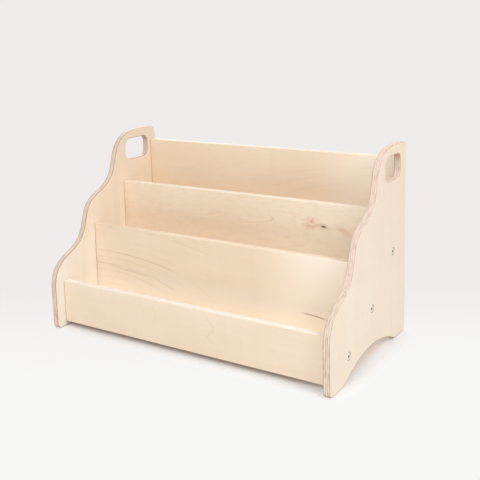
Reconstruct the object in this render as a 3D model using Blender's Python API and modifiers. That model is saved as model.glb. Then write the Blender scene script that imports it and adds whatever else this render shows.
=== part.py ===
"""Tiered bookcase in birch plywood that shows books by their covers.

Two side panels with a wave-shaped front edge carry four cross panels and three shelves. Bolts run through the
sides into barrel nuts in the shelf ends, and wooden dowels locate the panels and shelves. Metres, +Z up,
with the origin on the floor under the middle of the case and the front at -Y.
"""

import math

import bmesh
import bpy
from mathutils import Matrix, Vector
from mathutils.geometry import interpolate_bezier

# Case
WIDTH = 0.480  # outside of one side panel to the outside of the other
BOARD = 0.011  # plywood thickness
EASE = 0.0020  # rounding of the edges of the sides
BOARD_EASE = 0.0015  # rounding of the edges of the panels and shelves
GAP = 0.0003  # clearance between pieces that touch

# Tiers, measured back from the front edge of the sides
LIP_INSET = 0.0160  # to the front panel
TIER_PITCH = 0.0752  # from the front of one cross panel to the front of the next
REAR_INSET = 0.0033  # from the back panel to the rear edge of the sides

# Heights: the middle of each shelf's thickness, and the panel tops above the shelf that they belong to
LOWER_SHELF = 0.0358
MIDDLE_SHELF = 0.0749
UPPER_SHELF = 0.1363
FRONT_PANEL_RISE = 0.0386
SECOND_PANEL_RISE = 0.0745
THIRD_PANEL_RISE = 0.0696
BACK_PANEL_RISE = 0.1310
FRONT_PANEL_BOTTOM = 0.0078

# Side panel outline: the wave runs over shallow ledges and steep risers, one of each for a tier
EDGE_DROP = 0.0111  # end of the straight front edge below the front panel's top
FIRST_REVEAL = 0.0404  # first ledge above the front panel's top
SECOND_REVEAL = 0.0504  # second ledge above the second panel's top
TOP_REVEAL = 0.0227  # top edge above the back panel's top
RISER_HEIGHT = 0.0477  # middle of a ledge to the middle of the riser behind it
LEDGE_ANGLE = math.radians(23.4)
RISER_ANGLE = math.radians(75.2)
WAVE_TENSION = 0.440  # length of a bend's handles for each metre of its chord
TOP_FLAT = 0.0422  # straight top edge, rear corner included
TOE_RADIUS = 0.007
HEEL_RADIUS = 0.005
REAR_RADIUS = 0.009  # upper rear corner
FOOT = 0.0395  # length of each foot
ARCH_RISE = 0.0226
ARCH_FILLET = 0.020  # rounding where the arch meets a foot

# Handle slot
SLOT_LENGTH = 0.058
SLOT_HEIGHT = 0.0350
SLOT_WEB = 0.0146  # material above the slot
SLOT_REAR_WEB = 0.0214  # material behind the slot
SLOT_RADIUS = 0.011
SLOT_FRONT_RADIUS = 0.013  # upper front corner, which follows the shoulder of the side

# Bolts and barrel nuts
BOLT_SETBACK = 0.028  # bolt behind the panel in front of its shelf
BOLT_RADIUS = 0.003
BOLT_REACH = 0.008  # bolt past the middle of its nut
HEAD_RADIUS = 0.0051
HEAD_HEIGHT = 0.0025
HEAD_ROUND = 0.0005
HEAD_RECESS = 0.0002  # top of the head below the face of the side
HEAD_CLEARANCE = 0.0007  # round the head in its counterbore
SOCKET_WIDTH = 0.004  # across the flats of the hex socket
SOCKET_DEPTH = 0.0018
NUT_SETBACK = 0.030  # nut from the end of its shelf
NUT_RADIUS = 0.005
NUT_LENGTH = 0.009
NUT_SLOT_WIDTH = 0.0012
NUT_SLOT_DEPTH = 0.001
TIP_CHAMFER = 0.0006

# Dowels
DOWEL_RADIUS = 0.003
DOWEL_IN_SIDE = 0.008
DOWEL_IN_BOARD = 0.017
DOWEL_EDGE = 0.018  # dowel from the edge of its board
DOWEL_CHAMFER = 0.0006

# Facets
BEND_POINTS = 10
ARCH_POINTS = 25
CORNER_POINTS = 6
EASE_STEPS = 2
ROUND_SIDES = 24
DOWEL_SIDES = 12
HEX_SIDES = 6
OVERCUT = 0.002  # how far a cutter runs past the face that it cuts

# Sizes that follow from those above
DEPTH = LIP_INSET + 3 * TIER_PITCH + BOARD + REAR_INSET
INNER_FACE = WIDTH / 2 - BOARD
BOARD_END = INNER_FACE - GAP
FRONT_TOP = LOWER_SHELF + FRONT_PANEL_RISE
SECOND_TOP = MIDDLE_SHELF + SECOND_PANEL_RISE
THIRD_TOP = UPPER_SHELF + THIRD_PANEL_RISE
BACK_TOP = UPPER_SHELF + BACK_PANEL_RISE
SIDE_TOP = BACK_TOP + TOP_REVEAL
COUNTERBORE = HEAD_HEIGHT + HEAD_RECESS + GAP

# Name, place in the row and height of each shelf, then name, place, bottom and top of each cross panel.
# A panel reaches down to the underside of the shelf in front of it.
SHELVES = (
    ("lower_shelf", 0, LOWER_SHELF),
    ("middle_shelf", 1, MIDDLE_SHELF),
    ("upper_shelf", 2, UPPER_SHELF),
)
PANELS = (
    ("front_panel", 0, FRONT_PANEL_BOTTOM, FRONT_TOP),
    ("second_panel", 1, LOWER_SHELF - BOARD / 2, SECOND_TOP),
    ("third_panel", 2, MIDDLE_SHELF - BOARD / 2, THIRD_TOP),
    ("back_panel", 3, UPPER_SHELF - BOARD / 2, BACK_TOP),
)
SIDES = (("left", -1), ("right", 1))

# Base colour, roughness and metallic value
BIRCH_SIDE = ((0.87, 0.75, 0.60), 0.55, 0.0)
BIRCH_PANEL = ((0.84, 0.69, 0.52), 0.55, 0.0)
BEECH = ((0.72, 0.52, 0.33), 0.65, 0.0)
STEEL = ((0.72, 0.72, 0.72), 0.30, 1.0)


def clear_scene():
    for found in list(bpy.data.objects):
        bpy.data.objects.remove(found, do_unlink=True)


def new_collection(name):
    made = bpy.data.collections.new(name)
    bpy.context.scene.collection.children.link(made)
    return made


def panel_front(place):
    """Y of the front face of the cross panel at this place in the row."""
    return LIP_INSET + place * TIER_PITCH - DEPTH / 2


def shelf_span(place):
    """Y of a shelf's front and rear edges, between the panels before and behind it."""
    return panel_front(place) + BOARD + GAP, panel_front(place + 1) - GAP


def bolt_y(place):
    return panel_front(place) + BOARD + BOLT_SETBACK


def dowel_spots():
    """Name of the board, name of the place on its end, and (y, z), for every dowel on one side."""
    spots = []
    for name, place, bottom, top in PANELS:
        y = panel_front(place) + BOARD / 2
        spots.append((name, "lower_", (y, bottom + DOWEL_EDGE)))
        spots.append((name, "upper_", (y, top - DOWEL_EDGE)))
    for name, place, height in SHELVES:
        spots.append((name, "", (shelf_span(place)[1] - DOWEL_EDGE, height)))
    return spots


class Workshop:
    """Puts pieces and cutters in their collections, and gives each piece its own material."""

    def __init__(self):
        self.pieces = new_collection("Tiered bookcase")
        self.cutters = new_collection("Cutters")
        self.base = bpy.data.objects.new("bookcase", None)
        self.pieces.objects.link(self.base)

    def add(self, name, mesh, finish, matrix=None):
        piece = bpy.data.objects.new(name, mesh)
        self.pieces.objects.link(piece)
        piece.parent = self.base
        piece.matrix_world = matrix or Matrix()
        colour, roughness, metallic = finish
        material = bpy.data.materials.new(name)
        material.use_nodes = True
        shader = material.node_tree.nodes["Principled BSDF"]
        shader.inputs["Base Color"].default_value = (*colour, 1.0)
        shader.inputs["Roughness"].default_value = roughness
        shader.inputs["Metallic"].default_value = metallic
        mesh.materials.append(material)
        return piece

    def cut(self, piece, label, cutter_mesh):
        """Cuts the mesh, which is in world space, out of the piece."""
        cutter = bpy.data.objects.new(f"{piece.name}_{label}", cutter_mesh)
        self.cutters.objects.link(cutter)
        cutter.hide_render = True
        cutter.display_type = "WIRE"
        boolean = piece.modifiers.new(label, "BOOLEAN")
        boolean.operation = "DIFFERENCE"
        boolean.object = cutter


def finish_mesh(bm, name):
    """A mesh of the bmesh, smooth over its rounds and sharp at its corners."""
    mesh = bpy.data.meshes.new(name)
    bm.to_mesh(mesh)
    bm.free()
    mesh.shade_smooth()
    mesh.set_sharp_from_angle(angle=math.radians(35))
    return mesh


def add_rod(bm, start, end, radius, sides):
    """Adds a cylinder between two points."""
    start, end = Vector(start), Vector(end)
    turn = (end - start).to_track_quat("Z", "Y").to_matrix().to_4x4()
    bmesh.ops.create_cone(
        bm,
        cap_ends=True,
        segments=sides,
        radius1=radius,
        radius2=radius,
        depth=(end - start).length,
        matrix=Matrix.Translation((start + end) / 2) @ turn,
    )


def rods_mesh(name, rods, sides=ROUND_SIDES):
    """One mesh of separate cylinders, each given as (start, end, radius)."""
    bm = bmesh.new()
    for start, end, radius in rods:
        add_rod(bm, start, end, radius, sides)
    return finish_mesh(bm, name)


def box_mesh(name, low, high, eased=0.0):
    """A box between two corners, with its edges rounded if asked."""
    low, high = Vector(low), Vector(high)
    bm = bmesh.new()
    bmesh.ops.create_cube(bm, size=1.0)
    bmesh.ops.scale(bm, vec=high - low, verts=bm.verts)
    bmesh.ops.translate(bm, vec=(low + high) / 2, verts=bm.verts)
    if eased:
        bmesh.ops.bevel(
            bm, geom=bm.edges[:], offset=eased, segments=EASE_STEPS, profile=0.5, affect="EDGES"
        )
    return finish_mesh(bm, name)


def heading(angle):
    return Vector((math.cos(angle), math.sin(angle)))


def arc(centre, radius, start, end, count):
    """Points on an arc about the centre, from one angle to the other."""
    step = (end - start) / (count - 1)
    return [Vector(centre) + radius * heading(start + step * i) for i in range(count)]


def bend(start, start_angle, end, end_angle):
    """Points on a smooth bend that leaves and arrives at the given headings."""
    start, end = Vector(start), Vector(end)
    reach = WAVE_TENSION * (end - start).length
    leave = start + reach * heading(start_angle)
    arrive = end - reach * heading(end_angle)
    return interpolate_bezier(start, leave, arrive, end, BEND_POINTS)


def wave_points():
    """Front edge of a side, from the end of its straight stretch up to the top edge."""
    first_ledge = FRONT_TOP + FIRST_REVEAL
    second_ledge = SECOND_TOP + SECOND_REVEAL
    knots = (
        ((0, FRONT_TOP - EDGE_DROP), math.pi / 2),
        ((0.5 * TIER_PITCH, first_ledge), LEDGE_ANGLE),
        ((TIER_PITCH, first_ledge + RISER_HEIGHT), RISER_ANGLE),
        ((1.5 * TIER_PITCH, second_ledge), LEDGE_ANGLE),
        ((2 * TIER_PITCH, second_ledge + RISER_HEIGHT), RISER_ANGLE),
        ((DEPTH - TOP_FLAT, SIDE_TOP), 0.0),
    )
    points = [Vector(knots[0][0])]
    for (start, start_angle), (end, end_angle) in zip(knots, knots[1:]):
        points += bend(start, start_angle, end, end_angle)[1:]
    return points


def arch_points():
    """Underside of a side between its feet: the arch, with a fillet where it meets each foot."""
    half_span = DEPTH / 2 - FOOT
    radius = (half_span**2 + ARCH_RISE**2) / (2 * ARCH_RISE)
    centre = Vector((DEPTH / 2, ARCH_RISE - radius))
    fillet_run = math.sqrt((radius + ARCH_FILLET) ** 2 - (centre.y - ARCH_FILLET) ** 2)
    tangent = math.atan2(ARCH_FILLET - centre.y, fillet_run)
    down = -math.pi / 2
    front = (centre.x - fillet_run, ARCH_FILLET)
    rear = (centre.x + fillet_run, ARCH_FILLET)
    points = arc(front, ARCH_FILLET, down, -tangent, CORNER_POINTS)[:-1]
    points += arc(centre, radius, math.pi - tangent, tangent, ARCH_POINTS)
    points += arc(rear, ARCH_FILLET, math.pi + tangent, math.pi - down, CORNER_POINTS)[1:]
    return points


def side_outline():
    """Outline of a side as (distance from the front, height), anticlockwise from the front foot."""
    quarter = math.pi / 2
    points = arch_points()
    points += arc(
        (DEPTH - HEEL_RADIUS, HEEL_RADIUS), HEEL_RADIUS, -quarter, 0, CORNER_POINTS
    )
    points += arc(
        (DEPTH - REAR_RADIUS, SIDE_TOP - REAR_RADIUS), REAR_RADIUS, 0, quarter, CORNER_POINTS
    )
    points += reversed(wave_points())
    points += arc((TOE_RADIUS, TOE_RADIUS), TOE_RADIUS, math.pi, 3 * quarter, CORNER_POINTS)
    return points


def slot_outline():
    """Outline of the handle slot, clockwise so that it is a hole in the side."""
    rear, top = DEPTH - SLOT_REAR_WEB, SIDE_TOP - SLOT_WEB
    front, bottom = rear - SLOT_LENGTH, top - SLOT_HEIGHT
    quarter = math.pi / 2
    corners = (
        (front, bottom, 1, 1, SLOT_RADIUS, 2 * quarter),
        (rear, bottom, -1, 1, SLOT_RADIUS, 3 * quarter),
        (rear, top, -1, -1, SLOT_RADIUS, 0),
        (front, top, 1, -1, SLOT_FRONT_RADIUS, quarter),
    )
    points = []
    for x, y, inward_x, inward_y, radius, start in corners:
        centre = (x + inward_x * radius, y + inward_y * radius)
        points += arc(centre, radius, start, start + quarter, CORNER_POINTS)
    return list(reversed(points))


def side_mesh(name, matrix):
    """Plate of the side, eased along its outline and round its handle slot."""
    curve = bpy.data.curves.new(name, "CURVE")
    curve.dimensions = "2D"
    curve.fill_mode = "BOTH"
    curve.bevel_depth = EASE
    curve.bevel_resolution = EASE_STEPS - 1
    curve.extrude = BOARD / 2 - EASE
    curve.offset = -EASE
    for points in (side_outline(), slot_outline()):
        spline = curve.splines.new("POLY")
        spline.points.add(len(points) - 1)
        for spot, point in zip(spline.points, points):
            spot.co = (point.x, point.y, 0.0, 1.0)
        spline.use_cyclic_u = True
    guide = bpy.data.objects.new(name, curve)
    bpy.context.scene.collection.objects.link(guide)
    guide.matrix_world = matrix
    graph = bpy.context.evaluated_depsgraph_get()
    flat = bpy.data.meshes.new_from_object(guide.evaluated_get(graph))
    bpy.data.objects.remove(guide, do_unlink=True)
    bm = bmesh.new()
    bm.from_mesh(flat)
    bpy.data.meshes.remove(flat)
    bmesh.ops.remove_doubles(bm, verts=bm.verts, dist=GAP / 10)
    return finish_mesh(bm, name)


def make_sides(shop):
    for hand, sign in SIDES:
        name = f"{hand}_side_panel"
        place = Matrix.Translation((sign * (WIDTH - BOARD) / 2, -DEPTH / 2, 0))
        upright = Matrix.Rotation(math.pi / 2, 4, "Z") @ Matrix.Rotation(math.pi / 2, 4, "X")
        matrix = place @ upright
        side = shop.add(name, side_mesh(name, matrix), BIRCH_SIDE, matrix)
        outside = sign * (WIDTH / 2 + OVERCUT)
        inside = sign * (INNER_FACE - OVERCUT)
        seat = sign * (WIDTH / 2 - COUNTERBORE)
        bores, counterbores = [], []
        for _, shelf_place, height in SHELVES:
            y = bolt_y(shelf_place)
            bores.append(((inside, y, height), (outside, y, height), BOLT_RADIUS + GAP))
            counterbores.append(
                ((seat, y, height), (outside, y, height), HEAD_RADIUS + HEAD_CLEARANCE)
            )
        blind = sign * (INNER_FACE + DOWEL_IN_SIDE + GAP)
        sockets = [
            ((inside, y, z), (blind, y, z), DOWEL_RADIUS + GAP) for _, _, (y, z) in dowel_spots()
        ]
        shop.cut(side, "counterbores", rods_mesh(name + "_counterbores", counterbores))
        shop.cut(side, "bolt_holes", rods_mesh(name + "_bolt_holes", bores))
        shop.cut(side, "dowel_sockets", rods_mesh(name + "_sockets", sockets, DOWEL_SIDES))


def end_sockets(board):
    """Dowel sockets in both ends of a board."""
    rods = []
    for _, sign in SIDES:
        for owner, _, (y, z) in dowel_spots():
            if owner == board:
                start = (sign * (BOARD_END - DOWEL_IN_BOARD), y, z)
                end = (sign * (BOARD_END + OVERCUT), y, z)
                rods.append((start, end, DOWEL_RADIUS + GAP))
    return rods_mesh(board + "_sockets", rods, DOWEL_SIDES)


def make_panels(shop):
    for name, place, bottom, top in PANELS:
        low = (-BOARD_END, panel_front(place), bottom)
        high = (BOARD_END, panel_front(place) + BOARD, top)
        panel = shop.add(name, box_mesh(name, low, high, BOARD_EASE), BIRCH_PANEL)
        shop.cut(panel, "dowel_sockets", end_sockets(name))


def make_shelves(shop):
    for name, place, height in SHELVES:
        front, rear = shelf_span(place)
        low = (-BOARD_END, front, height - BOARD / 2)
        high = (BOARD_END, rear, height + BOARD / 2)
        shelf = shop.add(name, box_mesh(name, low, high, BOARD_EASE), BIRCH_PANEL)
        y = bolt_y(place)
        bolt_holes, nut_holes = [], []
        for _, sign in SIDES:
            nut_x = BOARD_END - NUT_SETBACK
            end = (sign * (nut_x - BOLT_REACH - GAP), y, height)
            bolt_holes.append((end, (sign * (BOARD_END + OVERCUT), y, height), BOLT_RADIUS + GAP))
            below = (sign * nut_x, y, height - BOARD / 2 - OVERCUT)
            above = (sign * nut_x, y, height + NUT_LENGTH / 2 + GAP)
            nut_holes.append((below, above, NUT_RADIUS + GAP))
        shop.cut(shelf, "bolt_holes", rods_mesh(name + "_bolt_holes", bolt_holes))
        shop.cut(shelf, "nut_holes", rods_mesh(name + "_nut_holes", nut_holes))
        shop.cut(shelf, "dowel_sockets", end_sockets(name))


def bolt_length():
    """From the seat of the head to the tip of the bolt."""
    through_side = BOARD - COUNTERBORE + GAP
    return through_side + GAP + NUT_SETBACK + BOLT_REACH


def bolt_mesh(name):
    """Half section of a bolt, top centre to tip centre, that a Screw modifier turns round."""
    length = bolt_length()
    section = (
        (0, HEAD_HEIGHT),
        (HEAD_RADIUS - HEAD_ROUND, HEAD_HEIGHT),
        (HEAD_RADIUS, HEAD_HEIGHT - HEAD_ROUND),
        (HEAD_RADIUS, 0),
        (BOLT_RADIUS, 0),
        (BOLT_RADIUS, TIP_CHAMFER - length),
        (BOLT_RADIUS - TIP_CHAMFER, -length),
        (0, -length),
    )
    bm = bmesh.new()
    spots = [bm.verts.new((radius, 0, height)) for radius, height in section]
    for first, second in zip(spots, spots[1:]):
        bm.edges.new((first, second))
    mesh = bpy.data.meshes.new(name)
    bm.to_mesh(mesh)
    bm.free()
    return mesh


def make_bolts(shop):
    for shelf, place, height in SHELVES:
        for hand, sign in SIDES:
            name = f"{shelf}_{hand}_bolt"
            seat = Vector((sign * (WIDTH / 2 - COUNTERBORE + GAP), bolt_y(place), height))
            matrix = Matrix.Translation(seat) @ Matrix.Rotation(sign * math.pi / 2, 4, "Y")
            bolt = shop.add(name, bolt_mesh(name), STEEL, matrix)
            turn = bolt.modifiers.new("turn", "SCREW")
            turn.axis = "Z"
            turn.steps = turn.render_steps = ROUND_SIDES
            turn.use_merge_vertices = True
            turn.merge_threshold = GAP / 10
            outward = Vector((sign, 0, 0))
            socket = (
                seat + outward * (HEAD_HEIGHT - SOCKET_DEPTH),
                seat + outward * (HEAD_HEIGHT + OVERCUT),
                SOCKET_WIDTH / math.sqrt(3),
            )
            shop.cut(bolt, "hex_socket", rods_mesh(name + "_socket", [socket], HEX_SIDES))


def make_nuts(shop):
    for shelf, place, height in SHELVES:
        for hand, sign in SIDES:
            name = f"{shelf}_{hand}_barrel_nut"
            centre = Vector((sign * (BOARD_END - NUT_SETBACK), bolt_y(place), height))
            half = Vector((0, 0, NUT_LENGTH / 2))
            barrel = rods_mesh(name, [(centre - half, centre + half, NUT_RADIUS)])
            nut = shop.add(name, barrel, STEEL)
            across = Vector((NUT_RADIUS + OVERCUT, 0, 0))
            bore = (centre - across, centre + across, BOLT_RADIUS + GAP)
            shop.cut(nut, "bolt_hole", rods_mesh(name + "_bore", [bore]))
            foot = centre - half
            reach = Vector((NUT_RADIUS + OVERCUT, NUT_SLOT_WIDTH / 2, 0))
            low = foot - reach - Vector((0, 0, OVERCUT))
            high = foot + reach + Vector((0, 0, NUT_SLOT_DEPTH))
            shop.cut(nut, "driver_slot", box_mesh(name + "_slot", low, high))


def dowel_mesh(name, start, end):
    bm = bmesh.new()
    add_rod(bm, start, end, DOWEL_RADIUS, DOWEL_SIDES)
    rims = [e for e in bm.edges if abs(e.verts[0].co.x - e.verts[1].co.x) < GAP]
    bmesh.ops.bevel(
        bm, geom=rims, offset=DOWEL_CHAMFER, segments=1, profile=0.5, affect="EDGES"
    )
    return finish_mesh(bm, name)


def make_dowels(shop):
    for hand, sign in SIDES:
        for board, level, (y, z) in dowel_spots():
            name = f"{board}_{hand}_{level}dowel"
            start = (sign * (BOARD_END - DOWEL_IN_BOARD + GAP), y, z)
            end = (sign * (INNER_FACE + DOWEL_IN_SIDE), y, z)
            shop.add(name, dowel_mesh(name, start, end), BEECH)


def main():
    clear_scene()
    shop = Workshop()
    make_sides(shop)
    make_panels(shop)
    make_shelves(shop)
    make_bolts(shop)
    make_nuts(shop)
    make_dowels(shop)


main()
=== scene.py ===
"""Looks of the tiered bookcase: birch plywood, zinc-plated bolts, a pale studio and the camera."""

import math
from typing import NamedTuple

import bmesh
import bpy
from mathutils import Matrix, Vector


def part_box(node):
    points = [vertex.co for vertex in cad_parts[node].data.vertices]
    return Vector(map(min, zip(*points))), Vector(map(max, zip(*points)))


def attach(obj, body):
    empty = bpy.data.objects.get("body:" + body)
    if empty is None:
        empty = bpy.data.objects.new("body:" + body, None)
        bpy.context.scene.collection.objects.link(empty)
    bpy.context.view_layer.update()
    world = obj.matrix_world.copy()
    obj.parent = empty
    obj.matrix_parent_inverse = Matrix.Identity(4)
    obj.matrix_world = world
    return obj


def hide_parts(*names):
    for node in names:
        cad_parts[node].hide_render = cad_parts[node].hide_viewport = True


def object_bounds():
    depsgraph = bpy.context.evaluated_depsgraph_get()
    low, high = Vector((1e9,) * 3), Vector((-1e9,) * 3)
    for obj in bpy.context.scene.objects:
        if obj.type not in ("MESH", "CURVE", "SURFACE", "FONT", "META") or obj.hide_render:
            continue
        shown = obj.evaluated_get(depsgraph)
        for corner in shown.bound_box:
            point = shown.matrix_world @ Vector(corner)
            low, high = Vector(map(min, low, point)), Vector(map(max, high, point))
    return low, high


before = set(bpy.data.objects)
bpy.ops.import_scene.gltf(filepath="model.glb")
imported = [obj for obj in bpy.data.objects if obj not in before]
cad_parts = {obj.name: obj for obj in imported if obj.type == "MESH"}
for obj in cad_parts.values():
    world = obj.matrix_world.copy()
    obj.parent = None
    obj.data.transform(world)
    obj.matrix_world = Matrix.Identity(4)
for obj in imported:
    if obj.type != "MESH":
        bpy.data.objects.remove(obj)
cad_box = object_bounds()

# Camera, solved from the photograph: the picture's centre of projection lies above its middle
IMAGE_SIZE = 480
FOCAL_PIXELS = 756.92
PRINCIPAL_PIXEL = (250.0, 155.0)
SENSOR_MM = 36.0
CAMERA_PLACE = (0.6263, -0.9166, 0.4564)
CAMERA_TURN = math.radians(32.13)
CAMERA_TILT = math.radians(-9.506)
CAMERA_ROLL = math.radians(-1.364)

# Shading of the copies that stand for the nodes
WELD = 1e-6
FLAT_ANGLE = math.radians(0.5)  # triangles that lie this level with each other are one face
SHARP_ANGLE = math.radians(40)

# Axes of a board: of its thickness, of the grain on its faces, and across that grain
AXES = "XYZ"
SIDE_AXES = ("X", "Z", "Y")
PANEL_AXES = ("Y", "X", "Z")
SHELF_AXES = ("Z", "X", "Y")

# Plywood: two thin sanded faces and seven thicker plies between them
BOARD = 0.011
FACE_PLY = 0.00075
FACE_BLUR = 0.00005  # half the width of the change from a face ply to the plies inside
INNER_PLIES = 7
INNER_PLY = (BOARD - 2 * FACE_PLY) / INNER_PLIES
GLUE_SHARE = 0.14  # share of a ply's thickness, at each of its faces, that the glue darkens
FAR_HALF = (0.4 * BOARD, 0.6 * BOARD)  # depths at which the near veneer gives way to the far one
ARRIS_TURN = (0.80, 0.98)  # how squarely a face looks out where the painted shade on a side's eased edge fades
DOWNWARD_SHADE_TURN = (-0.75, -0.10)  # how far a face looks up where the painted shade on faces that look down fades


class Noise(NamedTuple):
    """A noise in the wood: its scales, a shift that sets it apart, its fineness and its marks."""

    along: float  # scale along the grain, or along the plies of a cut edge
    across: float  # scale across the grain, or through those plies
    shift: float
    detail: float = 2.0
    roughness: float = 0.5
    shows: tuple = (0.0, 1.0)  # values at which its marks begin to show, and are full


# Noises of the veneer
BAND = Noise(1.6, 24.0, 0.0, detail=3.0)
CLOUD = Noise(9.0, 14.0, 2.0)
FIBRE = Noise(10.0, 430.0, 4.0, detail=3.0, roughness=0.6, shows=(0.38, 0.72))
CURL = Noise(75.0, 16.0, 6.0, detail=1.0, shows=(0.45, 0.75))
FLECK = Noise(85.0, 520.0, 8.0, detail=1.0, shows=(0.70, 0.78))
RING_SWAY = Noise(7.0, 16.0, 10.0)
RING_GAPS = Noise(9.0, 34.0, 12.0, detail=1.0, shows=(0.36, 0.62))
RAGGED = Noise(120.0, 240.0, 14.0)
WAVER = Noise(60.0, 4.0, 16.0, detail=1.0)
MOTTLE = Noise(150.0, 170.0, 18.0, shows=(0.35, 0.65))
BLOTCH = Noise(55.0, 120.0, 22.0, shows=(0.44, 0.66))
SIDE_BAND = Noise(2.0, 70.0, 26.0, shows=(0.48, 0.66))

# Noises of the cut plies
DASH = Noise(90.0, 1100.0, 20.0, detail=3.0, shows=(0.46, 0.64))
HOLLOW = Noise(110.0, 420.0, 24.0, detail=0.0, shows=(0.80, 0.84))
PORE_SCALE = 900.0

# Warmth of the veneer: weights of its bands and clouds, their range, and how far it swings about the tone
BAND_WEIGHT = 0.7
CLOUD_WEIGHT = 0.5
MOOD_RANGE = (0.35, 0.85)
TONE_SWING = 0.22

# Strength of what every veneer shows
FIBRE_SHARE = 0.09
CURL_SHARE = 0.06
FLECK_SHARE = 0.16
REAR_SHARE = 0.7  # of the lighter veneer on the rear face of a panel, painted light that throws more light into the tiers

# Arcs of late wood: shares of their spacing in which a line darkens and fades, and their strengths by chance
RING_RISE = (0.0, 0.05)
RING_FALL = (0.06, 0.30)
RING_CHANCES = (0.0, 0.9)
RING_STRENGTHS = (0.15, 1.0)
RING_BAND_CORE = 0.4  # share of the arcs' band that has them at full strength

# Ovals and streaks
RAGGEDNESS = 0.9  # of an oval's outline, as a share of its half-size
STREAK_WIDTH = 0.0016  # from a streak's middle to its edge
STREAK_CORE = 0.2  # share of that width at full strength
STREAK_WAVER = 2.0  # how far a streak strays, in such widths
STREAK_TIPS = (1 / 6, 1 / 2)  # from its middle, shares of its length at which it begins to fade, and ends

# Gloss of the wood, and depth of its marks as shares of the relief
ROUGHNESS = 0.45
FIBRE_ROUGHNESS = 0.12
CUT_ROUGHNESS = 0.14
RELIEF = 0.0001
RELIEF_STRENGTH = 0.45
LINE_DEPTH = 0.4
PORE_DEPTH = 0.5
GLUE_DEPTH = 0.6
HOLLOW_DEPTH = 3.0
FLECK_DEPTH = 0.5
DOWNWARD_SHADE_PORES = (0.2, 0.7)  # values of the pores between which the painted shade on faces that look down grows darker
DOWNWARD_SHADE_SHARES = (0.45, 0.65)

# Bolts: the painted shade ring round a counterbore, from the bolt's axis, and the depth at which painted
# shade darkens the plating
SHELVES = ("lower_shelf", "middle_shelf", "upper_shelf")
RIM_CORE = 0.0058
RIM_REACH = 0.0063
RIM_SHARE = 0.6
SUNK_SHALLOW = 0.0006
SUNK_DEEP = 0.0012


def srgb(red, green, blue):
    """Linear colour of an 8-bit picture colour."""
    return tuple(
        (c / 255 / 12.92) if c <= 10 else ((c / 255 + 0.055) / 1.055) ** 2.4
        for c in (red, green, blue)
    )


# paler veneer, laid as painted light
VENEER_LIGHT = srgb(252, 239, 221)
VENEER_PALE = srgb(244, 230, 212)
# cooler veneer, laid as painted light and shade against warm bounce light
VENEER_COOL = srgb(237, 231, 221)
VENEER_WARM = srgb(236, 214, 187)
VENEER_DEEP = srgb(220, 191, 158)
RING_BROWN = srgb(176, 136, 98)
KNOT_BLACK = srgb(52, 34, 24)
KNOT_RED = srgb(206, 128, 92)
KNOT_ORANGE = srgb(214, 152, 98)
GLUE = srgb(168, 138, 116)
# brown of the hollows in the cut plies, and of the painted shade round the bolt heads
HOLLOW_AND_SHADE_BROWN = srgb(120, 92, 74)
# painted shade: brown laid on faces that look down
DOWNWARD_SHADE_BROWN = srgb(188, 150, 116)
BEECH_LIGHT = srgb(222, 186, 146)
BEECH_DARK = srgb(178, 132, 92)
ZINC_BRIGHT = srgb(253, 243, 231)
ZINC_DULL = srgb(242, 230, 216)
SOCKET_SHADE_GREY = srgb(96, 88, 82)
PAPER_FRONT = srgb(238, 238, 237)
PAPER_REAR = srgb(231, 227, 226)
PAPER_BOUNCE_WARM = srgb(239, 223, 208)
FLOOR_FRONT = srgb(247, 247, 246)
BACKDROP = srgb(239, 235, 234)


class Cut(NamedTuple):
    """Look of plies where they are cut: their colours, and how strongly each mark shows."""

    along: tuple  # colour of a ply that is cut along its grain
    across: tuple  # colour of one that is cut across it
    border: tuple = (0.0003, 0.0006)  # from a face ply, where the darker line beside it fades and ends
    # also the share of painted shade on a side's eased edge
    border_share: float = 0.0
    dash_share: float = 0.15
    glue_share: float = 0.5
    hollow_share: float = 0.25


SIDE_MARKS = {"border_share": 0.8, "dash_share": 0.5, "glue_share": 0.9, "hollow_share": 0.7}
CUT_RIGHT = Cut(srgb(246, 230, 212), srgb(222, 200, 183), **SIDE_MARKS)
CUT_LEFT = Cut(srgb(243, 226, 208), srgb(220, 199, 182), border=(0.0012, 0.0018), **SIDE_MARKS)
CUT_BOARDS = Cut(srgb(249, 237, 221), srgb(240, 224, 206))
# painted highlight: near-white cut plies, for the front panel's top edge in full top light
CUT_FRONT = Cut(srgb(254, 246, 236), srgb(250, 238, 224))
# painted shade: darker cut plies, for the second panel's top edge
CUT_SECOND = Cut(srgb(242, 222, 198), srgb(236, 212, 186))


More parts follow.
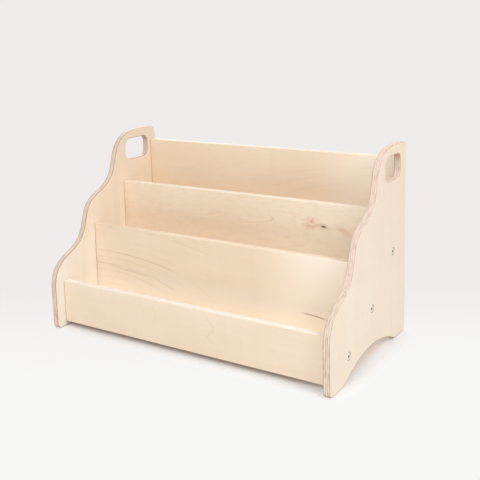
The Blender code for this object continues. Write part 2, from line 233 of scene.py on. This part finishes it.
class Graph:
    """Short calls for building a material's node tree."""

    def __init__(self, name):
        self.material = bpy.data.materials.new(name)
        self.material.use_nodes = True
        self.tree = self.material.node_tree
        self.shader = self.tree.nodes["Principled BSDF"]

    def link(self, value, socket):
        if isinstance(value, bpy.types.NodeSocket):
            self.tree.links.new(value, socket)
        else:
            socket.default_value = value

    def node(self, kind, **settings):
        made = self.tree.nodes.new(kind)
        for key, value in settings.items():
            setattr(made, key, value)
        return made

    def math(self, operation, a, b=0.0):
        made = self.node("ShaderNodeMath", operation=operation)
        self.link(a, made.inputs[0])
        self.link(b, made.inputs[1])
        return made.outputs[0]

    def plus(self, a, b):
        return self.math("ADD", a, b)

    def minus(self, a, b):
        return self.math("SUBTRACT", a, b)

    def times(self, first, *others):
        for other in others:
            first = self.math("MULTIPLY", first, other)
        return first

    def over(self, a, b):
        return self.math("DIVIDE", a, b)

    def flip(self, mask):
        """0 where the mask is 1, and 1 where it is 0."""
        return self.minus(1.0, mask)

    def length(self, a, b):
        """Length of the line whose two legs are given."""
        return self.math("SQRT", self.plus(self.times(a, a), self.times(b, b)))

    def span(self, value, low, high, out_low=0.0, out_high=1.0):
        """Maps low to high smoothly onto another range, held at its ends."""
        made = self.node("ShaderNodeMapRange", interpolation_type="SMOOTHSTEP")
        names = ("Value", "From Min", "From Max", "To Min", "To Max")
        for name, number in zip(names, (value, low, high, out_low, out_high)):
            self.link(number, made.inputs[name])
        return made.outputs[0]

    def fall(self, value, low, high):
        """1 up to low, fading to 0 at high."""
        return self.span(value, low, high, 1.0, 0.0)

    def near(self, value, core, reach):
        """1 where the value is within core of zero, fading to 0 at reach."""
        return self.fall(self.math("ABSOLUTE", value), core, reach)

    def vector(self, x, y, z):
        made = self.node("ShaderNodeCombineXYZ")
        for value, socket in zip((x, y, z), made.inputs):
            self.link(value, socket)
        return made.outputs[0]

    def split(self, value):
        made = self.node("ShaderNodeSeparateXYZ")
        self.link(value, made.inputs[0])
        return made.outputs

    def noise(self, place, scale=1.0, detail=2.0, roughness=0.5):
        made = self.node("ShaderNodeTexNoise")
        self.link(place, made.inputs["Vector"])
        made.inputs["Scale"].default_value = scale
        made.inputs["Detail"].default_value = detail
        made.inputs["Roughness"].default_value = roughness
        return made.outputs[0]

    def mix(self, share, a, b):
        made = self.node("ShaderNodeMix", data_type="RGBA")
        self.link(share, made.inputs["Factor"])
        for value, socket in ((a, made.inputs["A"]), (b, made.inputs["B"])):
            self.link((*value, 1.0) if isinstance(value, tuple) else value, socket)
        return made.outputs["Result"]

    def bump(self, height, distance, strength):
        made = self.node("ShaderNodeBump")
        made.inputs["Strength"].default_value = strength
        made.inputs["Distance"].default_value = distance
        self.link(height, made.inputs["Height"])
        return made.outputs[0]


class Plywood(Graph):
    """Solid plywood: a veneer on each face, and layered plies wherever the board is cut.

    axes are those of the thickness, of the face grain and across it. tone says how warm the veneer is,
    from 0 to 1, seed picks its own stretch of wood, and cut gives the look of the cut plies.
    """

    def __init__(self, node, axes, tone, seed, cut=CUT_BOARDS):
        super().__init__(node + "_birch")
        self.seed = seed
        self.cut = cut
        thick, along, across = (AXES.index(axis) for axis in axes)
        self.spot = self.node("ShaderNodeTexCoord").outputs["Object"]
        place = self.split(self.spot)
        self.run = place[along]
        self.cross = place[across]
        low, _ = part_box(node)
        self.depth = self.minus(place[thick], low[thick])
        self.from_face = self.math("MINIMUM", self.depth, self.minus(BOARD, self.depth))
        normal = self.split(self.node("ShaderNodeNewGeometry").outputs["Normal"])
        self.facing_run = self.math("ABSOLUTE", normal[along])
        self.facing_cross = self.math("ABSOLUTE", normal[across])
        self.facing_out = self.math("ABSOLUTE", normal[thick])
        self.facing_down = self.fall(normal[2], *DOWNWARD_SHADE_TURN)
        self.lay_veneer(tone)

    def grain(self, noise):
        """Value of a noise that is stretched along the grain."""
        place = self.vector(
            self.times(self.run, noise.along), self.times(self.cross, noise.across), self.seed + noise.shift
        )
        return self.noise(place, detail=noise.detail, roughness=noise.roughness)

    def centred(self, noise):
        """The same value, about zero."""
        return self.minus(self.grain(noise), 0.5)

    def marks(self, noise):
        """1 where the marks of such a noise show, and 0 between them."""
        return self.span(self.grain(noise), *noise.shows)

    def ply_marks(self, noise):
        """The same for a noise that runs along the plies of a cut edge."""
        place = self.vector(
            self.times(self.depth, noise.across),
            self.plus(self.times(self.run, noise.along), self.seed + noise.shift),
            self.times(self.cross, noise.along),
        )
        return self.span(self.noise(place, detail=noise.detail), *noise.shows)

    def lay_veneer(self, tone):
        """Even birch veneer: slow bands, fine fibres, faint curl across the grain and small pith flecks."""
        band = self.times(self.grain(BAND), BAND_WEIGHT)
        cloud = self.times(self.grain(CLOUD), CLOUD_WEIGHT)
        mood = self.plus(band, cloud)
        warmth = self.span(mood, *MOOD_RANGE, tone - TONE_SWING, tone + TONE_SWING)
        fleck = self.marks(FLECK)
        self.fibre = self.grain(FIBRE)
        self.face = self.mix(warmth, VENEER_PALE, VENEER_WARM)
        self.stain(self.span(self.fibre, *FIBRE.shows), VENEER_DEEP, FIBRE_SHARE)
        self.stain(self.marks(CURL), VENEER_DEEP, CURL_SHARE)
        self.stain(fleck, RING_BROWN, FLECK_SHARE)
        self.line = self.times(fleck, FLECK_DEPTH)

    def stain(self, mask, colour, share):
        """Lays a share of a colour over the face where the mask is 1."""
        self.face = self.mix(self.times(mask, share), self.face, colour)

    def rings(self, heart, stretch, spacing, share, wander=0.8, fade=None, band=None):
        """Nested arcs of late wood about a heart, long along the grain, that come and go.

        wander says over how many arcs they sway. fade gives the places along the board where they begin to
        fade and have gone, and band says how far they reach to each side of the heart's own line.
        """
        sway = self.times(self.centred(RING_SWAY), wander)
        far = self.over(self.minus(self.run, heart[0]), stretch)
        wide = self.minus(self.cross, heart[1])
        turns = self.plus(self.over(self.length(far, wide), spacing), sway)
        phase = self.math("FRACT", turns)
        line = self.times(self.span(phase, *RING_RISE), self.fall(phase, *RING_FALL))
        chance = self.node("ShaderNodeTexWhiteNoise", noise_dimensions="1D")
        self.link(self.plus(self.math("FLOOR", turns), self.seed), chance.inputs["W"])
        line = self.times(line, self.span(chance.outputs["Value"], *RING_CHANCES, *RING_STRENGTHS))
        line = self.times(line, self.marks(RING_GAPS))
        if fade:
            line = self.times(line, self.fall(self.run, *fade))
        if band:
            line = self.times(line, self.near(wide, RING_BAND_CORE * band, band))
        self.stain(line, RING_BROWN, share)
        self.line = self.plus(self.line, line)

    def rear_face(self):
        """1 on the far face of the board, which has a veneer of its own, and 0 on the near one."""
        return self.span(self.depth, *FAR_HALF)

    def distance(self, centre):
        """Distance over the face from a point."""
        return self.length(self.minus(self.run, centre[0]), self.minus(self.cross, centre[1]))

    def oval(self, centre, size, slope=0.0):
        """Distance from a centre, in which the oval of this half-size lies at 1, with a ragged outline."""
        along = self.minus(self.run, centre[0])
        level = self.minus(self.minus(self.cross, centre[1]), self.times(along, slope))
        reach = self.length(self.over(along, size[0]), self.over(level, size[1]))
        return self.plus(reach, self.times(self.centred(RAGGED), RAGGEDNESS))

    def streak(self, start, end, share, width=STREAK_WIDTH):
        """A thin brown streak between two points, pointed at both ends."""
        length = end[0] - start[0]
        slope = (end[1] - start[1]) / length
        far = self.minus(self.run, (start[0] + end[0]) / 2)
        level = self.minus(self.cross, (start[1] + end[1]) / 2)
        waver = self.times(self.centred(WAVER), STREAK_WAVER * width)
        off = self.plus(self.minus(level, self.times(far, slope)), waver)
        tips = (part * length for part in STREAK_TIPS)
        mask = self.times(self.near(off, STREAK_CORE * width, width), self.near(far, *tips))
        self.stain(mask, RING_BROWN, share)

    def cut_plies(self):
        """Colour of the plies where the board is cut, and masks of their glue lines and small hollows."""
        cut = self.cut
        layer = self.over(self.minus(self.depth, FACE_PLY), INNER_PLY)
        lengthwise = self.math("MODULO", self.math("FLOOR", layer), 2.0)
        crosswise = self.flip(lengthwise)
        end_grain = self.plus(
            self.times(crosswise, self.facing_cross), self.times(lengthwise, self.facing_run)
        )
        dash = self.ply_marks(DASH)
        from_middle = self.math("ABSOLUTE", self.minus(self.math("FRACT", layer), 0.5))
        glue = self.span(from_middle, 0.5 - GLUE_SHARE, 0.5)
        hollow = self.times(self.ply_marks(HOLLOW), crosswise)
        border = self.fall(self.minus(self.from_face, FACE_PLY), *cut.border)
        colour = self.mix(end_grain, cut.along, cut.across)
        colour = self.mix(self.times(dash, cut.dash_share), colour, GLUE)
        colour = self.mix(self.times(glue, cut.glue_share), colour, GLUE)
        colour = self.mix(self.times(hollow, cut.hollow_share), colour, HOLLOW_AND_SHADE_BROWN)
        colour = self.mix(self.times(border, cut.border_share), colour, GLUE)
        return colour, glue, hollow

    def finish(self):
        """Puts face and cut plies together, with painted shade on faces that look down, and adds gloss and
        relief.
        """
        ply, glue, hollow = self.cut_plies()
        # painted shade: a side's eased edge is darkened towards the cut-ply colour, to damp its highlight
        self.stain(self.fall(self.facing_out, *ARRIS_TURN), self.cut.across, self.cut.border_share)
        pores = self.noise(self.spot, scale=PORE_SCALE)
        inner = self.span(self.from_face, FACE_PLY - FACE_BLUR, FACE_PLY + FACE_BLUR)
        # painted shade: faces that look down turn a darker brown, more so in the pores
        downward_shade = self.times(self.facing_down, self.span(pores, *DOWNWARD_SHADE_PORES, *DOWNWARD_SHADE_SHARES))
        colour = self.mix(downward_shade, self.mix(inner, self.face, ply), DOWNWARD_SHADE_BROWN)
        self.link(colour, self.shader.inputs["Base Color"])
        rough = self.plus(self.times(self.fibre, FIBRE_ROUGHNESS), self.times(inner, CUT_ROUGHNESS))
        self.link(self.plus(rough, ROUGHNESS), self.shader.inputs["Roughness"])
        face_height = self.minus(self.fibre, self.times(self.line, LINE_DEPTH))
        sunk = self.plus(self.times(glue, GLUE_DEPTH), self.times(hollow, HOLLOW_DEPTH))
        cut_height = self.minus(self.times(pores, PORE_DEPTH), sunk)
        height = self.plus(self.times(face_height, self.flip(inner)), self.times(cut_height, inner))
        self.link(self.bump(height, RELIEF, RELIEF_STRENGTH), self.shader.inputs["Normal"])
        return self.material


# Sides: where the warm tone begins and is full towards the upper rear, and where the cool one, painted light
# against the warm bounce, ends inside
REARWARD_SHARE = 0.8  # weight of a metre to the rear against a metre up
WARM_SPAN = (0.02, 0.30)
COOL_HEIGHTS = (0.10, 0.17)


def side_wood(node, seed, band_share, cut):
    """Pale veneer, warmer towards the upper rear, and cooler low down on the face that looks inwards, as
    painted light against the warm bounce light there.
    """
    wood = Plywood(node, SIDE_AXES, tone=0.10, seed=seed, cut=cut)
    hand = node.split("_")[0]
    upper_rear = wood.plus(wood.run, wood.times(wood.cross, REARWARD_SHARE))
    wood.stain(wood.span(upper_rear, *WARM_SPAN), VENEER_WARM, share=0.45)
    # painted light: cooler low down inside, to offset the warm bounce light there
    inner = wood.rear_face() if hand == "left" else wood.flip(wood.rear_face())
    wood.stain(wood.times(inner, wood.fall(wood.run, *COOL_HEIGHTS)), VENEER_COOL, share=0.6)
    wood.stain(wood.marks(SIDE_BAND), VENEER_DEEP, band_share)
    # painted shade: a dark ring on the face round each bolt head, where the counterbore's gap lies in shade
    for shelf in SHELVES:
        low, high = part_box(f"{shelf}_{hand}_bolt")
        centre = ((low[2] + high[2]) / 2, (low[1] + high[1]) / 2)
        wood.stain(wood.near(wood.distance(centre), RIM_CORE, RIM_REACH), HOLLOW_AND_SHADE_BROWN, RIM_SHARE)
    return wood.finish()


# Front panel: heights above the floor and sizes of its wavy lines
WAVY_LINES = ((0.0495, 0.006, 0.36), (-0.0490, 0.003, 0.14))  # place along the panel, swing and strength
WAVE_CREST = 0.050
WAVE_LENGTH = 0.031
WAVE_WIDTHS = (0.0001, 0.0008)  # half the width of a line, at full strength and in all
WAVE_MIDDLE = 0.047
WAVE_HEIGHTS = (0.016, 0.024)  # how far up and down from its middle a line begins to fade, and ends
DRIFT_BELOW = 0.036  # height below which a line drifts to the right
DRIFT_SLOPE = 1.3


def front_wood(node):
    """Plain veneer with thin wavy lines, where a rotary cut met the same ring more than once."""
    wood = Plywood(node, PANEL_AXES, tone=0.68, seed=31.0, cut=CUT_FRONT)
    # painted light: a lighter rear face, to throw more light into the tiers
    wood.stain(wood.rear_face(), VENEER_LIGHT, REAR_SHARE)
    wood.rings((-0.30, 0.03), stretch=9.0, spacing=0.012, share=0.03, wander=1.0)
    wave = wood.math("COSINE", wood.times(wood.minus(wood.cross, WAVE_CREST), 2 * math.pi / WAVE_LENGTH))
    drift = wood.times(wood.math("MAXIMUM", wood.minus(DRIFT_BELOW, wood.cross), 0.0), DRIFT_SLOPE)
    shown = wood.near(wood.minus(wood.cross, WAVE_MIDDLE), *WAVE_HEIGHTS)
    for place, swing, share in WAVY_LINES:
        path = wood.plus(wood.plus(wood.times(wave, swing), drift), place)
        line = wood.near(wood.minus(wood.run, path), *WAVE_WIDTHS)
        wood.stain(wood.times(line, shown), RING_BROWN, share)
    return wood.finish()


# Second panel: where its right end, lightened as painted light, begins and is full, heights of its tones,
# and its streaks
LIGHT_END = (0.06, 0.17)
LIGHT_HEIGHTS = (0.060, 0.120)
DEEP_HEIGHTS = (0.090, 0.130)
BOUNCE_SHADE_HEIGHTS = (0.070, 0.100)
STREAKS = (
    ((-0.215, 0.0835), (-0.110, 0.0755), 0.32),
    ((0.148, 0.0665), (0.196, 0.0633), 0.75),
    ((-0.205, 0.1465), (-0.185, 0.1455), 0.25),
)


def second_wood(node):
    """Arcs that leave the left end level and turn down, brown streaks, a right end lightened as painted
    light, and painted shade low on the left end.
    """
    wood = Plywood(node, PANEL_AXES, tone=0.60, seed=43.0, cut=CUT_SECOND)
    right_end = wood.span(wood.run, *LIGHT_END)
    left_end = wood.flip(right_end)
    # painted light: the right end, most of all low down, is lightened where the right side shades it
    wood.stain(right_end, VENEER_LIGHT, share=0.80)
    wood.stain(wood.times(right_end, wood.fall(wood.cross, *LIGHT_HEIGHTS)), VENEER_LIGHT, share=0.90)
    wood.stain(wood.times(left_end, wood.span(wood.cross, *DEEP_HEIGHTS)), VENEER_DEEP, share=0.18)
    # painted shade: a cooler, darker band low on the left end, against the warm bounce light in the tier
    wood.stain(wood.times(left_end, wood.fall(wood.cross, *BOUNCE_SHADE_HEIGHTS)), VENEER_COOL, share=0.35)
    # painted light: a lighter rear face, to throw more light into the tiers
    wood.stain(wood.rear_face(), VENEER_LIGHT, REAR_SHARE)
    wood.rings((-0.20, 0.03), stretch=2.87, spacing=0.0107, share=0.34, wander=0.32, fade=(-0.08, 0.03))
    for start, end, share in STREAKS:
        wood.streak(start, end, share)
    return wood.finish()


# Third panel: centres, along it and above the floor, and half-sizes of the marks round its knot
KNOT = ((0.1490, 0.1705), (0.0044, 0.0014))
KNOT_RIM = ((0.1485, 0.1709), (0.0085, 0.0040))
HALO = ((0.130, 0.1727), (0.0185, 0.0120))
PATCH = ((0.183, 0.1665), (0.0135, 0.0060))
PATCH_SLOPE = -0.45
KNOT_FADE = (0.6, 1.1)  # shares of its half-size at which a mark begins to fade, and has gone
KNOT_RIM_FADE = (0.4, 1.4)
HALO_FADE = (0.2, 1.2)
PATCH_FADE = (0.2, 1.3)
MOTTLE_STRENGTHS = (0.2, 1.0)  # of the halo, in its faintest and its reddest spots
TRAIL = ((0.140, 0.1715), (0.196, 0.1670))  # ends of the faint streak from the knot to the patch
TRAIL_WIDTH = 0.0035
LIGHTER_PART = (-0.02, 0.15)  # along the panel, where painted light begins to lighten it and where it is lightest


def third_wood(node):
    """Faint arcs, a small black knot with a reddish halo beside it, and a brown patch."""
    wood = Plywood(node, PANEL_AXES, tone=0.68, seed=57.0)
    # painted light: lighter towards the right end, where the right side shades it
    wood.stain(wood.span(wood.run, *LIGHTER_PART), VENEER_LIGHT, share=0.48)
    wood.rings(
        (-0.20, 0.173), stretch=13.7, spacing=0.00238, share=0.26,
        wander=0.2, fade=(0.09, 0.118), band=0.026,
    )
    wood.stain(wood.marks(BLOTCH), VENEER_DEEP, share=0.15)
    mottle = wood.span(wood.grain(MOTTLE), *MOTTLE.shows, *MOTTLE_STRENGTHS)
    wood.stain(wood.times(wood.fall(wood.oval(*HALO), *HALO_FADE), mottle), KNOT_RED, share=0.50)
    wood.streak(*TRAIL, share=0.14, width=TRAIL_WIDTH)
    wood.stain(wood.fall(wood.oval(*PATCH, PATCH_SLOPE), *PATCH_FADE), KNOT_ORANGE, share=0.34)
    wood.stain(wood.fall(wood.oval(*KNOT_RIM), *KNOT_RIM_FADE), RING_BROWN, share=0.38)
    wood.stain(wood.fall(wood.oval(*KNOT), *KNOT_FADE), KNOT_BLACK, share=0.90)
    return wood.finish()


BACK_LIGHT_END = (0.08, 0.20)  # along the back panel, where painted light begins to lighten it and where it is lightest


def back_wood(node):
    """Veneer in a warm, dark tone as painted shade, with faint arcs, and lighter at its right end as painted
    light.
    """
    # painted shade: a warm, dark tone over the whole panel
    wood = Plywood(node, PANEL_AXES, tone=0.85, seed=71.0)
    # painted light: lighter towards the right end, where the corner shades it
    wood.stain(wood.span(wood.run, *BACK_LIGHT_END), VENEER_LIGHT, share=0.7)
    wood.rings((0.25, 0.17), stretch=4.0, spacing=0.011, share=0.07)
    return wood.finish()


SHELF_SEED = 83.0
SHELF_SEED_STEP = 9.0


def shelf_wood(node, seed):
    """Pale veneer with faint arcs, lightest on the upper face as painted light that throws more light into
    the tiers.
    """
    wood = Plywood(node, SHELF_AXES, tone=0.25, seed=seed)
    # painted light: a lighter upper face, to throw more light into the tiers
    wood.stain(wood.rear_face(), VENEER_LIGHT, share=0.6)
    wood.rings((0.3, 0.0), stretch=5.0, spacing=0.012, share=0.06)
    return wood.finish()


# Plating and dowels: scales of their noises, and the values between which these show
DULL_SCALE = 260.0
DULL_SHOWS = (0.35, 0.7)
DULL_GLOSS = (0.3, 0.8)
ZINC_ROUGHNESS = (0.28, 0.42)
TURNING_SCALE = 1800.0
TURNING_RELIEF = 0.00004
BEECH_SCALES = (60.0, 900.0, 900.0)
BEECH_SHOWS = (0.4, 0.7)
BEECH_GLOSS = (0.3, 0.8)
BEECH_ROUGHNESS = (0.55, 0.75)
HARDWARE_RELIEF_STRENGTH = 0.4


def steel(name):
    """Bright zinc plating with faint turning marks, dull in spots, with painted shade down in the sockets.
    """
    g = Graph(name)
    spot = g.node("ShaderNodeTexCoord").outputs["Object"]
    dull = g.noise(spot, scale=DULL_SCALE, detail=3.0)
    marks = g.noise(spot, scale=TURNING_SCALE)
    bright = g.mix(g.span(dull, *DULL_SHOWS), ZINC_BRIGHT, ZINC_DULL)
    outward = g.math("ABSOLUTE", g.split(spot)[0])
    half_width = cad_box[1][0]
    # painted shade: the plating grows darker the deeper it lies below the head's face
    sunk = g.fall(outward, half_width - SUNK_DEEP, half_width - SUNK_SHALLOW)
    g.link(g.mix(sunk, bright, SOCKET_SHADE_GREY), g.shader.inputs["Base Color"])
    g.shader.inputs["Metallic"].default_value = 1.0
    g.link(g.span(dull, *DULL_GLOSS, *ZINC_ROUGHNESS), g.shader.inputs["Roughness"])
    g.link(g.bump(marks, TURNING_RELIEF, HARDWARE_RELIEF_STRENGTH), g.shader.inputs["Normal"])
    return g.material


def beech(name):
    """Plain beech with short dark flecks along the dowel."""
    g = Graph(name)
    spot = g.split(g.node("ShaderNodeTexCoord").outputs["Object"])
    place = g.vector(*(g.times(part, scale) for part, scale in zip(spot, BEECH_SCALES)))
    fleck = g.noise(place, detail=3.0)
    g.link(g.mix(g.span(fleck, *BEECH_SHOWS), BEECH_LIGHT, BEECH_DARK), g.shader.inputs["Base Color"])
    g.link(g.span(fleck, *BEECH_GLOSS, *BEECH_ROUGHNESS), g.shader.inputs["Roughness"])
    g.link(g.bump(fleck, RELIEF, HARDWARE_RELIEF_STRENGTH), g.shader.inputs["Normal"])
    return g.material


def dressed(node, material):
    """A welded copy of a node, smooth over its rounds, that stands for it with a finished surface."""
    bm = bmesh.new()
    bm.from_mesh(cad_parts[node].data)
    bmesh.ops.remove_doubles(bm, verts=bm.verts, dist=WELD)
    bmesh.ops.recalc_face_normals(bm, faces=bm.faces)
    bmesh.ops.dissolve_limit(bm, angle_limit=FLAT_ANGLE, verts=bm.verts, edges=bm.edges)
    mesh = bpy.data.meshes.new(node + "_finish")
    bm.to_mesh(mesh)
    bm.free()
    mesh.shade_smooth()
    mesh.set_sharp_from_angle(angle=SHARP_ANGLE)
    mesh.materials.append(material)
    piece = bpy.data.objects.new(node + "_finish", mesh)
    bpy.context.scene.collection.objects.link(piece)
    even = piece.modifiers.new("even", "WEIGHTED_NORMAL")
    even.keep_sharp = True
    even.weight = 100
    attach(piece, "root")
    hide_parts(node)
    return piece


def dress_boards():
    """The two sides, the four panels and the shelves, each with its own stretch of wood."""
    dressed("left_side_panel", side_wood("left_side_panel", seed=2.0, band_share=0.18, cut=CUT_LEFT))
    dressed("right_side_panel", side_wood("right_side_panel", seed=17.0, band_share=0.04, cut=CUT_RIGHT))
    dressed("front_panel", front_wood("front_panel"))
    dressed("second_panel", second_wood("second_panel"))
    dressed("third_panel", third_wood("third_panel"))
    dressed("back_panel", back_wood("back_panel"))
    for number, shelf in enumerate(SHELVES):
        dressed(shelf, shelf_wood(shelf, seed=SHELF_SEED + SHELF_SEED_STEP * number))


def dress_hardware():
    """Bolts and barrel nuts in zinc, and dowels in beech."""
    zinc = steel("zinc_plate")
    dowel_wood = beech("dowel_beech")
    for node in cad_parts:
        if node.endswith(("_bolt", "_barrel_nut")):
            dressed(node, zinc)
        elif node.endswith("_dowel"):
            dressed(node, dowel_wood)


# Studio
FLOOR_RADIUS = 8.0
FLOOR_SIDES = 64
PAPER_ROUGHNESS = 0.9
CLOUD_SCALE = 2.5
CLOUD_SWING = 0.2  # how far the paper's change of colour strays from a straight line
REARWARD = (-0.532, 0.847, 0.0)  # over the floor, towards the backdrop of the photograph
FADE = (-0.20, 0.25)  # along that direction, where the paper begins to turn into its rear colour, and ends
UNDERNEATH = 0.012  # distance inside the object's footprint over which the painted warm bounce light from the wood begins on the paper
BLEND_END = 0.025  # distance outside it at which the shadow on the floor has faded
LIFT_PLACE = (0.17, 0.235)  # along X, where painted light begins to lift the shadow under the right side, as light from the right would reach in there
LIFT_SHARE = (0.10, 0.26)  # share of the floor's glow, painted light in the shadow, to the left and right of that
AMBIENT = 0.31
LAMP_TARGET = (0.0, 0.0, 0.12)
LAMPS = (  # name, place, width and height, and power in watts
    ("key_softbox", (1.7, -0.5, 1.8), (1.4, 1.4), 32.5),
    ("front_softbox", (0.1, -1.9, 1.7), (2.0, 1.2), 29.0),
    ("rear_softbox", (-1.6, 1.4, 1.3), (1.6, 1.2), 29.0),
)


def seen_directly(tree):
    """1 for rays from the camera, and for mirror and transmitted rays, which show the same backdrop."""
    path = tree.nodes.new("ShaderNodeLightPath")
    total = path.outputs["Is Camera Ray"]
    for kind in ("Is Glossy Ray", "Is Transmission Ray"):
        either = tree.nodes.new("ShaderNodeMath")
        either.operation = "MAXIMUM"
        tree.links.new(total, either.inputs[0])
        tree.links.new(path.outputs[kind], either.inputs[1])
        total = either.outputs[0]
    return total


def paper():
    """Paper that takes the object's shadow near it, and shows the studio's own pale colour further out."""
    g = Graph("studio_paper")
    spot = g.node("ShaderNodeTexCoord").outputs["Object"]
    x, y, _ = g.split(spot)
    cloud = g.times(g.minus(g.noise(spot, scale=CLOUD_SCALE, detail=1.0), 0.5), CLOUD_SWING)
    rear = g.node("ShaderNodeVectorMath", operation="DOT_PRODUCT")
    g.link(spot, rear.inputs[0])
    rear.inputs[1].default_value = REARWARD
    fade = g.span(g.plus(rear.outputs["Value"], cloud), *FADE)
    footprint = (cad_box[1][0], -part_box("front_panel")[0][1])
    outside = [
        g.math("MAXIMUM", g.minus(g.math("ABSOLUTE", part), half - UNDERNEATH), 0.0)
        for part, half in zip((x, y), footprint)
    ]
    away = g.length(*outside)
    # painted light: a warm tint on the paper under the object, for the light the wood throws onto it
    painted_bounce = g.fall(away, 0.0, UNDERNEATH)
    colour = g.mix(painted_bounce, g.mix(fade, PAPER_FRONT, PAPER_REAR), PAPER_BOUNCE_WARM)
    g.link(colour, g.shader.inputs["Base Color"])
    g.shader.inputs["Roughness"].default_value = PAPER_ROUGHNESS
    g.shader.inputs["Specular IOR Level"].default_value = 0.0
    # painted light: the floor's glow lifts the shadow, most under the right side
    lift = g.span(x, *LIFT_PLACE, *LIFT_SHARE)
    glow_share = g.math("MAXIMUM", g.span(away, UNDERNEATH, UNDERNEATH + BLEND_END), lift)
    glow = g.node("ShaderNodeEmission")
    g.link(g.mix(fade, FLOOR_FRONT, BACKDROP), glow.inputs["Color"])
    blend = g.node("ShaderNodeMixShader")
    g.link(g.times(glow_share, seen_directly(g.tree)), blend.inputs["Fac"])
    g.link(g.shader.outputs[0], blend.inputs[1])
    g.link(glow.outputs[0], blend.inputs[2])
    g.link(blend.outputs[0], g.tree.nodes["Material Output"].inputs["Surface"])
    return g.material


def make_floor():
    """Wide round floor of pale paper."""
    bm = bmesh.new()
    bmesh.ops.create_circle(bm, cap_ends=True, segments=FLOOR_SIDES, radius=FLOOR_RADIUS)
    mesh = bpy.data.meshes.new("paper_floor")
    bm.to_mesh(mesh)
    bm.free()
    mesh.materials.append(paper())
    floor = bpy.data.objects.new("paper_floor", mesh)
    bpy.context.scene.collection.objects.link(floor)


def make_world():
    """Even light from all round, as in a tent of white cloth, with the backdrop's colour to see."""
    world = bpy.data.worlds.new("studio")
    world.use_nodes = True
    bpy.context.scene.world = world
    tree = world.node_tree
    ambient = tree.nodes["Background"]
    ambient.inputs["Color"].default_value = (1.0, 1.0, 1.0, 1.0)
    ambient.inputs["Strength"].default_value = AMBIENT
    backdrop = tree.nodes.new("ShaderNodeBackground")
    backdrop.inputs["Color"].default_value = (*BACKDROP, 1.0)
    choose = tree.nodes.new("ShaderNodeMixShader")
    tree.links.new(seen_directly(tree), choose.inputs["Fac"])
    tree.links.new(ambient.outputs[0], choose.inputs[1])
    tree.links.new(backdrop.outputs[0], choose.inputs[2])
    tree.links.new(choose.outputs[0], tree.nodes["World Output"].inputs["Surface"])


def make_lamps():
    """Softboxes that look at the middle of the object."""
    for name, place, size, power in LAMPS:
        light = bpy.data.lights.new(name, "AREA")
        light.shape = "RECTANGLE"
        light.size, light.size_y = size
        light.energy = power
        lamp = bpy.data.objects.new(name, light)
        bpy.context.scene.collection.objects.link(lamp)
        lamp.location = place
        lamp.rotation_euler = (Vector(LAMP_TARGET) - Vector(place)).to_track_quat("-Z", "Y").to_euler()


def make_camera():
    """Camera at the photograph's viewing angle and framing."""
    camera = bpy.data.cameras.new("photo_view")
    camera.sensor_width = SENSOR_MM
    camera.lens = FOCAL_PIXELS / IMAGE_SIZE * SENSOR_MM
    camera.shift_x = (IMAGE_SIZE / 2 - PRINCIPAL_PIXEL[0]) / IMAGE_SIZE
    camera.shift_y = (PRINCIPAL_PIXEL[1] - IMAGE_SIZE / 2) / IMAGE_SIZE
    viewer = bpy.data.objects.new("photo_view", camera)
    bpy.context.scene.collection.objects.link(viewer)
    turn = Matrix.Rotation(CAMERA_TURN, 4, "Z")
    tilt = Matrix.Rotation(math.pi / 2 + CAMERA_TILT, 4, "X")
    roll = Matrix.Rotation(CAMERA_ROLL, 4, "Z")
    viewer.matrix_world = Matrix.Translation(CAMERA_PLACE) @ turn @ tilt @ roll
    bpy.context.scene.camera = viewer


bpy.context.scene.view_settings.view_transform = "Standard"
dress_boards()
dress_hardware()
make_floor()
make_world()
make_lamps()
make_camera()
